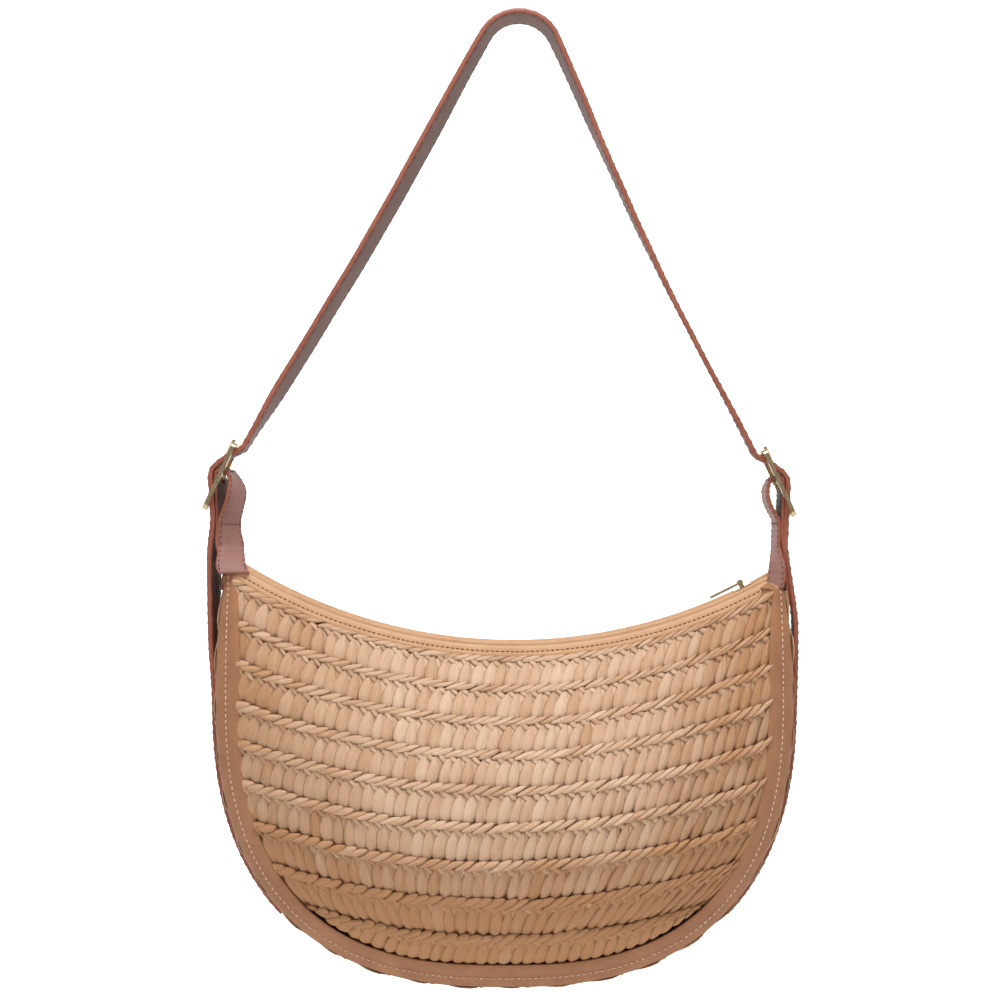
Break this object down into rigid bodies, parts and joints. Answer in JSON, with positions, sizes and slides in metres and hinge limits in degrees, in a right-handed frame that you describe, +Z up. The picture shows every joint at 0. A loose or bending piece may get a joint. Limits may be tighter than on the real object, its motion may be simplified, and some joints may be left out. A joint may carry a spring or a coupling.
{
  "type": "hobo bag",
  "caption": "Crescent hobo bag of braided straw rows with leather seam bands, a curved top zip and one long leather shoulder strap held by two pin buckles.",
  "frame": {"origin": "centre of the round support that the top of the strap bends over, in the strap's middle plane", "axes": "+X to the bag's right seen from its front, front faces -Y, +Z up"},
  "size_m": [0.4071, 0.15, 0.6642],
  "materials": {
    "straw": "flat plaited straw, softly glossy fibres",
    "tan_leather": "smooth satin coated leather",
    "brown_leather": "satin coated leather with warm painted edges",
    "lining_cloth": "plain woven cotton",
    "zip_cloth": "woven zip tape",
    "brass": "polished light gold"
  },
  "bodies": {
    "strap": {"strap": "brown_leather", "tab_loop_left": "brown_leather", "tab_loop_right": "brown_leather"},
    "buckle_left": {"buckle_frame_left": "brass", "buckle_bar_left": "brass"},
    "tongue_left": {"buckle_tongue_left": "brass"},
    "buckle_right": {"buckle_frame_right": "brass", "buckle_bar_right": "brass"},
    "tongue_right": {"buckle_tongue_right": "brass"},
    "zip_slider": {"zip_slider": "brass"},
    "zip_pull": {"zip_pull": "brown_leather"},
    "bag": {"back_braid_row_1": "straw", "back_braid_row_2": "straw", "back_braid_row_3": "straw", "back_braid_row_4": "straw", "back_braid_row_5": "straw", "back_braid_row_6": "straw", "back_braid_row_7": "straw", "back_braid_row_8": "straw", "back_braid_row_9": "straw", "front_braid_row_1": "straw", "front_braid_row_2": "straw", "front_braid_row_3": "straw", "front_braid_row_4": "straw", "front_braid_row_5": "straw", "front_braid_row_6": "straw", "front_braid_row_7": "straw", "front_braid_row_8": "straw", "front_braid_row_9": "straw", "gusset": "straw", "lining_back": "lining_cloth", "lining_front": "lining_cloth", "lining_gusset": "lining_cloth", "mouth_facing_back": "tan_leather", "mouth_facing_front": "tan_leather", "seam_band_back": "tan_leather", "seam_band_front": "tan_leather", "strap_tail_left": "brown_leather", "strap_tail_right": "brown_leather", "tab_flap_inner_left": "brown_leather", "tab_flap_inner_right": "brown_leather", "tab_flap_outer_left": "brown_leather", "tab_flap_outer_right": "brown_leather", "zip_stop_left": "brass", "zip_stop_right": "brass", "zip_tape_back": "zip_cloth", "zip_tape_front": "zip_cloth", "zip_teeth_back": "brass", "zip_teeth_front": "brass"}
  },
  "joints": [
    {"name": "bag_swing", "type": "hinge", "parent": "strap", "child": "bag", "pos_m": [0, 0, -0.32], "axis": [1, 0, 0], "range_deg": [-90, 90]},
    {"name": "buckle_left_rock", "type": "hinge", "parent": "strap", "child": "buckle_left", "pos_m": [-0.2039, 0, -0.2884], "axis": [0, -1, 0], "range_deg": [-2.5, 2.5]},
    {"name": "tongue_left_turn", "type": "hinge", "parent": "buckle_left", "child": "tongue_left", "pos_m": [-0.2039, 0, -0.2884], "axis": [0, -1, 0], "range_deg": [0, 90]},
    {"name": "buckle_right_rock", "type": "hinge", "parent": "strap", "child": "buckle_right", "pos_m": [0.1771, 0, -0.2932], "axis": [0, 1, 0], "range_deg": [-2.5, 2.5]},
    {"name": "tongue_right_turn", "type": "hinge", "parent": "buckle_right", "child": "tongue_right", "pos_m": [0.1771, 0, -0.2932], "axis": [0, 1, 0], "range_deg": [0, 90]},
    {"name": "zip_travel", "type": "hinge", "parent": "bag", "child": "zip_slider", "pos_m": [-0.0034, 0, -0.0487], "axis": [0, 1, 0], "range_deg": [0, 51]},
    {"name": "pull_flip", "type": "hinge", "parent": "zip_slider", "child": "zip_pull", "pos_m": [0.15163, 0, -0.36238], "axis": [0, 1, 0], "range_deg": [0, 110]}
  ]
}
